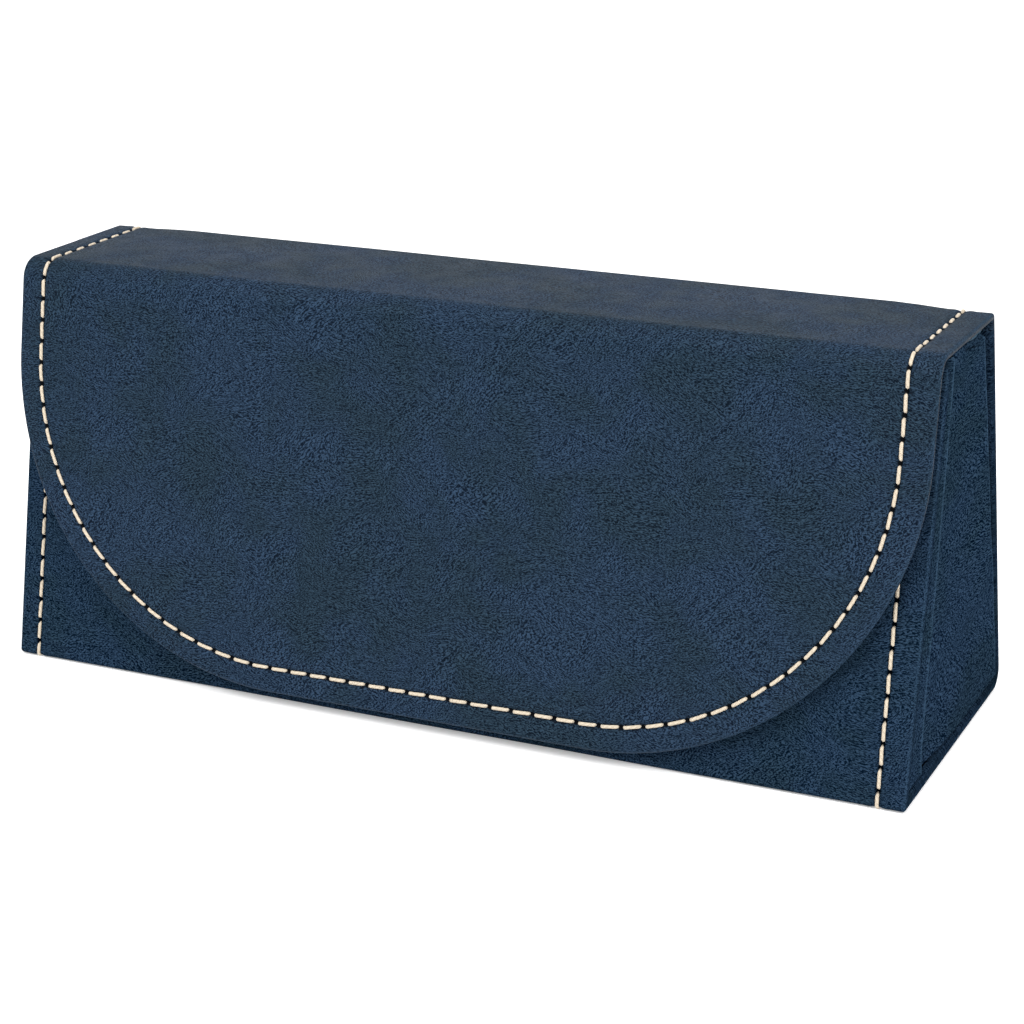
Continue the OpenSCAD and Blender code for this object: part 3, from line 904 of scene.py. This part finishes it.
def end_hem(side, material):
    """The strip of an end that is turned in and sewn to the panels."""
    edge_x = np.r_[END_CARD_X, HEM_X + np.array([0.35, 0.1, 0.0, 0.1, 0.35])]
    edge_depth = np.r_[HEM_OUT, HEM_OUT, 1.75, 2.1, 2.45, HEM_IN]

    def ring(s):
        fold = 1 - smooth(s, REAR_CUT - 1.4, REAR_CUT - 0.4)
        x = np.r_[edge_x, HEM_X + 1.5, HEM_X + 3.0, END_CARD_X]
        ripple = 0.04 * math.sin(s / 2.7) * math.sin(s / 7.1 + side)
        depth = np.r_[edge_depth, HEM_IN + ripple, HEM_IN - ripple, HEM_IN]
        depth = HEM_OUT + (depth - HEM_OUT) * (0.4 + 0.6 * fold)
        order = slice(None, None, -1) if side > 0 else slice(None)
        return side * x[order][::-1], depth[order][::-1], np.zeros(len(x))

    rows = np.unique(np.r_[np.arange(2.4, REAR_CUT, 0.8), BASE_BENDS, REAR_CUT - 0.3])
    return swept(f"{SIDE_WORDS[side]}_end_hem", rows, ring, material)


def end_lining(side, material):
    """The cloth over an end's card, with the fold of cloth that shows above its top edge."""
    build = Builder()
    inner_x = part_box("right_end_lining")[0].x / MM
    count = 41
    shares = np.linspace(0, 1, count)
    card_x = END_CARD_X + 0.05
    floor = END_FLOOR_Z + 0.3
    top = PANEL_TOP_Z - 0.5
    # The x and rise of the cloth's path from the card's outer face over its top edge.
    profile = [(card_x, 0.0), (card_x, 0.36), (END_CARD_X - 0.2, 0.57), (END_CARD_X - 0.6, 0.63)]
    profile += [(inner_x + 0.15, 0.51), (inner_x, 0.3), (inner_x, 0.0)]
    starts = []

    def add_row(x, z, swells):
        y = end_front_y(z) + (end_rear_y(z) - end_front_y(z)) * shares
        swell = 0.12 * np.sin(math.pi * shares) * math.sin(math.pi * (z - floor) / (top - floor))
        swell = swell + 0.03 * np.sin(y / 3.7 + np.sin(z / 5.0)) * np.sin(z / 4.9)
        x = x - np.maximum(swell, 0) * np.sin(math.pi * shares) * swells
        zs = np.full(count, z)
        starts.append(build.add(np.stack([side * x, y, zs], -1), np.stack([y, zs], -1)))

    add_row(card_x, floor, False)
    for x, rise in profile:
        add_row(x, top + rise, False)
    for z in np.linspace(top - 1.0, floor, 50):
        add_row(inner_x, z, True)
    build.sleeve(starts, count, flip=side < 0)
    return build.make(f"{SIDE_WORDS[side]}_end_cloth", material)


CLOTH_FOLD_R = 0.36
CLOTH_FOLD_ROWS = 34
CLOTH_FOLD_SIDES = 12


def cloth_fold(side, material):
    """A fold of the lining that stands above the sagging top edge of an end."""
    y = np.linspace(-0.5, 10.0, CLOTH_FOLD_ROWS)
    size = CLOTH_FOLD_R * np.sqrt(np.clip(1 - ((y - 4.75) / 5.3) ** 2, 0.0, 1))
    lift = 0.05 * np.sin(y / 1.9)
    x = np.full(CLOTH_FOLD_ROWS, side * (HALF_W - 1.5))
    centre = np.stack([x, y, end_top(y) - 0.16 + lift], -1)
    build = Builder()
    starts = []
    for point, r in zip(centre, np.maximum(size, 0.03)):
        a = np.arange(CLOTH_FOLD_SIDES) * 2 * math.pi / CLOTH_FOLD_SIDES * side
        ring = point + np.stack([1.25 * r * np.cos(a), 0 * a, r * np.sin(a)], -1)
        starts.append(build.add(ring, np.stack([ring[:, 1], a * r], -1)))
    build.tube(starts[::-1], CLOTH_FOLD_SIDES)
    return build.make(f"{SIDE_WORDS[side]}_cloth_fold", material)


# ---- Thread ----

# Side stitches whose middle lies past this go in the rear fold's thread piece, not with the body.
THREAD_CUT = REAR_CUT - 1.5
THREAD_RINGS = 22
THREAD_SIDES = 14
STRAND_COUNT = 3
TWIST_LENGTH = 3.1
THREAD_FLATNESS = 0.88
HOLE_END_DEPTH = 0.95


def add_stitch(build, place, first, last, lean, fit):
    """One stitch between two needle holes. place(along, across, depth) gives its points."""
    gap, sink = fit
    share = np.linspace(0, 1, THREAD_RINGS)
    share = share - 0.1 * np.sin(2 * math.pi * share)
    length = last - first - 2 * gap
    along = first + gap + length * share
    dive = 1 - np.minimum(share, 1 - share) * length / THREAD_DIVE
    dive = np.clip(dive, 0, 1) ** 1.6
    depth = sink + (HOLE_END_DEPTH - sink) * dive
    across = lean * (share - 0.5)
    centre = place(along, across, depth)
    above = place(along, across, depth - 0.5)
    tangent = np.gradient(centre, axis=0)
    tangent /= np.linalg.norm(tangent, axis=1)[:, None]
    normal = above - centre
    normal -= np.sum(normal * tangent, axis=1)[:, None] * tangent
    normal /= np.linalg.norm(normal, axis=1)[:, None]
    binormal = np.cross(tangent, normal)
    starts = []
    a = np.arange(THREAD_SIDES) * 2 * math.pi / THREAD_SIDES
    for i in range(THREAD_RINGS):
        turn = 2 * math.pi * (along[i] - first) / TWIST_LENGTH
        lobes = np.abs(np.cos(STRAND_COUNT * (a - turn) / 2))
        r = THREAD_R * (0.94 + 0.06 * lobes) * (1 - 0.3 * dive[i])
        ring = centre[i] + (r * np.cos(a))[:, None] * binormal[i]
        ring = ring + (r * THREAD_FLATNESS * np.sin(a))[:, None] * normal[i]
        uv = np.stack([np.full(THREAD_SIDES, along[i]), a * THREAD_R], -1)
        # Where a stitch dives into its hole it is given painted shade.
        starts.append(build.add(ring, uv, dive[i]))
    build.tube(starts[::-1], THREAD_SIDES)


def stitch_lean(k):
    """How far a stitch leans across its seam from end to end."""
    return 0.11 + 0.04 * math.sin(k * 2.4) + 0.03 * math.sin(k * 5.1)


def side_thread(name, sides, low, high, material):
    """The stitches of one or both side seams whose middle lies between low and high."""
    build = Builder()
    for side in sides:

        def place(along, across, depth):
            return STRIP.point(seam_x(side, along) + across, along, depth)

        holes = SIDE_HOLES[side]
        for k, (a, b) in enumerate(zip(holes, holes[1:])):
            if low <= (a + b) / 2 < high:
                fit = LID_STITCH_FIT if a > LID_FACE[0] else STITCH_FIT
                add_stitch(build, place, a, b, stitch_lean(k) * side, fit)
    return build.make(name, material)


def flap_thread(material):
    """The stitches from the lid's middle down the flap, round it and back up."""
    build = Builder()
    reach = SIDE_START + ARC_S - LID_CUT

    def place(along, across, depth):
        x, s = outline_point(along, LID_INSET + seam_shift(along) - across)
        return STRIP.point(x, s, depth)

    for k, (a, b) in enumerate(zip(ROUND_HOLES, ROUND_HOLES[1:])):
        if abs(a + b) / 2 <= reach:
            on_lid = min(abs(a), abs(b)) > SIDE_START + ARC_S - LID_FACE[1]
            fit = LID_STITCH_FIT if on_lid else STITCH_FIT
            add_stitch(build, place, a, b, -stitch_lean(k), fit)
    return build.make("flap_thread", material)


# ---- Materials ----


class Nodes:
    """A material's node tree, with short ways to add what these materials need."""

    def __init__(self, name):
        self.material = bpy.data.materials.new(name)
        self.material.use_nodes = True
        self.tree = self.material.node_tree
        self.shader = self.tree.nodes["Principled BSDF"]

    def add(self, kind, inputs, output=0, **settings):
        node = self.tree.nodes.new("ShaderNode" + kind)
        for key, value in settings.items():
            setattr(node, key, value)
        for key, value in inputs.items():
            self.feed(node.inputs[key], value)
        return node.outputs[output]

    def feed(self, socket, value):
        if isinstance(value, bpy.types.NodeSocket):
            self.tree.links.new(value, socket)
        else:
            socket.default_value = value

    def math(self, operation, a, b=0.0):
        return self.add("Math", {0: a, 1: b}, operation=operation)

    def blend(self, share, a, b):
        """A mix of two colours, each a socket or its red, green and blue."""
        a, b = ((*c, 1) if isinstance(c, tuple) else c for c in (a, b))
        return self.add("Mix", {0: share, 6: a, 7: b}, 2, data_type="RGBA")

    def mix(self, share, a, b):
        return self.add("Mix", {0: share, 2: a, 3: b}, data_type="FLOAT")

    def steps(self, value, low, high, to_low=0.0, to_high=1.0):
        inputs = {0: value, 1: low, 2: high, 3: to_low, 4: to_high}
        return self.add("MapRange", inputs, interpolation_type="SMOOTHSTEP")

    def noise(self, place, scale, detail, roughness=0.5, output=0):
        inputs = {"Vector": place, "Scale": scale, "Detail": detail, "Roughness": roughness}
        return self.add("TexNoise", inputs, output)

    def attribute(self, name):
        return self.add("Attribute", {}, 2, attribute_name=name)

    def rest_place(self):
        """Rest coordinates in millimetres, which stay with a piece as it bends."""
        uv = self.add("UVMap", {}, uv_map=UV_NAME)
        return self.add("VectorMath", {0: uv, "Scale": UV_SPAN}, operation="SCALE")

    def turned(self, place, degrees, scale):
        inputs = {0: place, 2: (0, 0, math.radians(degrees)), 3: (*scale, 1)}
        return self.add("Mapping", inputs)

    def bump(self, height, distance, strength):
        inputs = {"Height": height, "Distance": distance, "Strength": strength}
        return self.add("Bump", inputs)

    def finish(self, **inputs):
        for key, value in inputs.items():
            self.feed(self.shader.inputs[key.replace("_", " ")], value)
        return self.material


def warped(n, place, size, amount):
    """The place pushed about by slow noise, so that a grain laid on it swirls."""
    slow = n.noise(place, 1 / size, 1.0, 0.4, output=1)
    centred = n.add("VectorMath", {0: slow, 1: (0.5, 0.5, 0.5)}, operation="SUBTRACT")
    inputs = {0: centred, 1: (amount, amount, 0.0), 2: place}
    return n.add("VectorMath", inputs, operation="MULTIPLY_ADD")


def wrinkles(n, place, degrees, scale):
    """Fine raised wrinkles that wander, part and join, mostly one way."""
    turned = n.turned(place, degrees, scale)
    inputs = {"Vector": turned, "Scale": 0.5, "Distortion": 9.0, "Detail": 1.0, "Detail Scale": 2.6}
    waves = n.add("TexWave", inputs, 1, bands_direction="Y")
    return n.mix(0.76, waves, n.noise(turned, 2.4, 1.0, 0.5))


def leather_material(name="leatherette", specular=0.05):
    n = Nodes(name)
    place = n.rest_place()
    swirl = warped(n, place, 15.0, 6.0)
    lengthways = wrinkles(n, swirl, 8, (1.0, 1.75))
    slanting = wrinkles(n, swirl, 62, (1.05, 1.65))
    leaning = wrinkles(n, swirl, -38, (1.05, 1.8))
    where = n.steps(n.noise(place, 1 / 12, 1.0), 0.44, 0.56)
    grain = n.mix(where, lengthways, slanting)
    grain = n.mix(n.steps(n.noise(place, 1 / 9, 1.0), 0.5, 0.62), grain, leaning)
    fine = n.noise(n.turned(swirl, 20, (5.0, 7.5)), 1.0, 2.0, 0.6)
    height = n.mix(0.15, grain, fine)
    cloud = n.noise(warped(n, place, 30.0, 16.0), 1 / 24, 3.0, 0.6)
    patch = n.noise(place, 1 / 6, 2.0, 0.6)
    cloudy = n.steps(n.mix(0.2, cloud, patch), 0.38, 0.6)
    valley = n.blend(cloudy, (0.0007, 0.0041, 0.0095), (0.0006, 0.0042, 0.0118))
    crest = n.blend(cloudy, (0.0200, 0.0410, 0.0650), (0.0245, 0.0490, 0.0890))
    tint = n.steps(height, 0.37, 0.66)
    colour = n.blend(tint, valley, crest)
    # Painted shade darkens the needle holes, the seam channels, the cut sides of edges and the
    # ends' crevices.
    pressed = n.attribute("pressed")
    darker = n.steps(pressed, 0.15, 0.95)
    colour = n.blend(darker, colour, (0.0005, 0.0010, 0.0020))
    # Edges and ridges turn lighter: partly worn finish, partly a painted highlight.
    worn = n.attribute("worn")
    wear_highlight_share = n.math("MULTIPLY", worn, n.steps(patch, 0.3, 0.6, 0.35, 0.75))
    colour = n.blend(wear_highlight_share, colour, (0.0420, 0.0850, 0.1400))
    shine = n.steps(patch, 0.3, 0.7, 0.44, 0.54)
    relief = n.math("MULTIPLY", height, n.math("SUBTRACT", 1.0, darker))
    return n.finish(
        Base_Color=colour,
        Roughness=n.mix(tint, n.math("ADD", shine, 0.1), shine),
        Normal=n.bump(relief, 0.00010, 0.8),
        Specular_IOR_Level=specular,
    )


def cloth_material():
    n = Nodes("lining_cloth")
    place = n.rest_place()
    threads = {"Vector": place, "Scale": 0.75, "Distortion": 1.2, "Detail": 1.0}
    waves = [n.add("TexWave", threads, bands_direction=way) for way in "XY"]
    weave = n.math("MULTIPLY", *waves)
    nap = n.noise(n.turned(warped(n, place, 9.0, 5.0), 25, (1.3, 3.2)), 1.0, 4.0, 0.7)
    brushed = n.noise(place, 1 / 18, 3.0, 0.6)
    shade = n.steps(n.mix(0.3, brushed, nap), 0.35, 0.65)
    colour = n.blend(shade, (0.020, 0.062, 0.104), (0.030, 0.084, 0.138))
    colour = n.blend(n.math("MULTIPLY", weave, 0.35), colour, (0.05, 0.12, 0.18))
    height = n.math("ADD", n.math("MULTIPLY", weave, 0.5), nap)
    return n.finish(
        Base_Color=colour,
        Roughness=0.92,
        Normal=n.bump(height, 0.00016, 0.8),
        Specular_IOR_Level=0.2,
        Sheen_Weight=0.08,
        Sheen_Roughness=0.4,
    )


def thread_material():
    n = Nodes("thread")
    place = n.rest_place()
    apart = n.add("SeparateXYZ", {0: place})
    along, around = apart, apart.node.outputs[1]
    twist = n.math("MULTIPLY", along, 2 * math.pi / TWIST_LENGTH)
    turn = n.math("SUBTRACT", n.math("DIVIDE", around, THREAD_R), twist)
    lobe = n.math("ABSOLUTE", n.math("COSINE", n.math("MULTIPLY", turn, STRAND_COUNT / 2)))
    fibre = n.noise(n.turned(place, 32, (2.5, 16.0)), 1.0, 3.0, 0.6)
    cream = n.blend(fibre, (0.46, 0.38, 0.28), (0.66, 0.58, 0.46))
    # Painted shade in the grooves between the thread's strands.
    colour = n.blend(n.steps(lobe, 0.0, 0.35), (0.40, 0.32, 0.23), cream)
    # Painted shade: the thread darkens as it dives into its needle hole.
    dive = n.attribute("pressed")
    colour = n.blend(n.steps(dive, 0.2, 0.75), colour, (0.02, 0.018, 0.016))
    return n.finish(
        Base_Color=colour,
        Roughness=0.62,
        Normal=n.bump(n.math("ADD", fibre, lobe), 0.00005, 0.7),
        Specular_IOR_Level=0.35,
        Sheen_Weight=0.2,
        Sheen_Roughness=0.5,
    )


def board_material():
    n = Nodes("greyboard")
    place = n.add("TexCoord", {}, 3)
    fibre = n.noise(n.turned(place, 0, (260, 900)), 1.0, 4.0, 0.65)
    fleck = n.noise(place, 700.0, 2.0, 0.5)
    colour = n.blend(fibre, (0.17, 0.16, 0.14), (0.36, 0.34, 0.30))
    colour = n.blend(n.steps(fleck, 0.62, 0.72), colour, (0.10, 0.09, 0.08))
    return n.finish(
        Base_Color=colour,
        Roughness=0.9,
        Normal=n.bump(fibre, 0.00008, 0.6),
        Specular_IOR_Level=0.2,
    )


def nickel_material():
    n = Nodes("nickel")
    place = n.add("TexCoord", {}, 3)
    brushed = n.noise(n.turned(place, 15, (200, 3200)), 1.0, 3.0, 0.6)
    worn = n.noise(place, 260.0, 3.0, 0.6)
    return n.finish(
        Base_Color=n.blend(worn, (0.50, 0.50, 0.50), (0.64, 0.63, 0.61)),
        Metallic=1.0,
        Roughness=n.steps(brushed, 0.3, 0.7, 0.22, 0.38),
        Normal=n.bump(brushed, 0.00001, 0.4),
    )


# ---- Putting the case together ----


def on_body(obj, slot, *nodes):
    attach(obj, "body")
    return stands_for(obj, slot, *nodes)


def over_rear_fold(obj, slot, *nodes):
    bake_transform(obj)
    return stands_for(obj, slot, *nodes)


def over_front_fold(obj, slot, *nodes):
    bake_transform(obj)
    return stands_for(obj, slot, *nodes)


def stands_for(obj, slot, *nodes):
    if nodes:
        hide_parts(*nodes)
    return obj


def build_case():
    leather, cloth, thread = leather_material(), cloth_material(), thread_material()
    body_hide = leather_material("body_leatherette", 0.0)
    on_body(body_leather(body_hide), "leatherette", "body_cover")
    over_rear_fold(rear_lid_leather(leather), "leatherette", "rear_hinge")
    over_front_fold(
        lid_flap_leather(leather), "leatherette", "lid_cover", "front_fold", "flap_cover"
    )
    on_body(body_lining_cloth(cloth), "lining_cloth", "body_lining")
    over_rear_fold(rear_lid_lining(cloth), "lining_cloth")
    over_front_fold(lid_flap_lining(cloth), "lining_cloth", "lid_lining", "flap_lining")
    for side, word in SIDE_WORDS.items():
        on_body(end_leather(side, body_hide), "leatherette", f"{word}_end")
        on_body(end_hem(side, body_hide), "leatherette")
        on_body(end_lining(side, cloth), "lining_cloth", f"{word}_end_lining")
        on_body(cloth_fold(side, cloth), "lining_cloth")
        seam = side_thread(f"{word}_body_thread", [side], 0.0, THREAD_CUT, thread)
        on_body(seam, "thread", f"body_stitching_{word}")
    across_fold = side_thread("rear_fold_thread", SIDE_WORDS, THREAD_CUT, LID_CUT, thread)
    over_rear_fold(across_fold, "thread", "lid_stitching_left", "lid_stitching_right")
    over_front_fold(flap_thread(thread), "thread", "flap_stitching")
    board, nickel = board_material(), nickel_material()
    for name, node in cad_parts.items():
        kind = (board, "greyboard") if name.endswith("_board") else (nickel, "magnet")
        if name.endswith("_board") or "magnet" in name:
            node.data.materials.clear()
            node.data.materials.append(kind[0])


# ---- Camera, floor and light ----

SKY_POWER = 0.51
CAMERA_PLACE = (177.04, -377.21, 169.83)
CAMERA_TURN = 24.77
CAMERA_RISE = 18.585
CAMERA_ROLL = -0.21
CAMERA_LENS = 89.0


def add_camera():
    turn, rise = math.radians(CAMERA_TURN), math.radians(CAMERA_RISE)
    level = math.cos(rise)
    back = Vector((math.sin(turn) * level, -math.cos(turn) * level, math.sin(rise)))
    right = Vector((math.cos(turn), math.sin(turn), 0))
    spin = Matrix.Rotation(math.radians(CAMERA_ROLL), 3, back)
    axes = [spin @ right, spin @ back.cross(right), back]
    data = bpy.data.cameras.new("camera")
    data.lens = CAMERA_LENS
    data.clip_start, data.clip_end = 0.01, 50
    camera = in_scene("camera", data)
    place = Matrix.Translation(Vector(CAMERA_PLACE) * MM)
    camera.matrix_world = place @ Matrix(axes).transposed().to_4x4()
    bpy.context.scene.camera = camera


# Each light's name, place, size and power.
LIGHTS = (
    ("overhead", (0.0, 0.0, 1.1), (1.6, 1.4), 8),
    ("key", (-0.25, -0.85, 0.9), (1.0, 0.8), 10),
    ("back panel", (-0.63, 1.37, 0.58), (1.4, 0.7), 2.5),
    ("right fill", (0.9, -0.3, 0.75), (0.7, 0.7), 8),
)


def add_light(target, name, place, size, power):
    data = bpy.data.lights.new(name, "AREA")
    data.shape = "RECTANGLE"
    data.size, data.size_y = size
    data.energy = power
    light = in_scene(name, data)
    light.location = place
    light.rotation_euler = (target - Vector(place)).to_track_quat("-Z", "Y").to_euler()


FLOOR_SPAN = 4.0
FLOOR_GAP = 0.0002


def add_floor():
    n = Nodes("floor")
    n.finish(
        Base_Color=(0.93, 0.93, 0.93, 1),
        Roughness=0.9,
        Specular_IOR_Level=0.1,
        Emission_Color=(1.0, 1.0, 1.0, 1),
        Emission_Strength=0.25,
    )
    mesh = bpy.data.meshes.new("floor")
    signs = ((-1, -1), (1, -1), (1, 1), (-1, 1))
    corners = [(x * FLOOR_SPAN, y * FLOOR_SPAN, 0) for x, y in signs]
    mesh.from_pydata(corners, [], [(0, 1, 2, 3)])
    mesh.materials.append(n.material)
    floor = in_scene("floor", mesh)
    floor.location.z = cad_lo.z - FLOOR_GAP


def add_studio():
    world = bpy.data.worlds.new("studio")
    world.use_nodes = True
    background = world.node_tree.nodes["Background"]
    background.inputs["Color"].default_value = (1.0, 1.0, 1.0, 1)
    background.inputs["Strength"].default_value = SKY_POWER
    bpy.context.scene.world = world
    middle = (cad_lo + cad_hi) / 2
    for light in LIGHTS:
        add_light(middle, *light)
    scene = bpy.context.scene
    scene.view_settings.view_transform = "Standard"
    scene.view_settings.look = "None"


build_case()
add_camera()
add_floor()
add_studio()
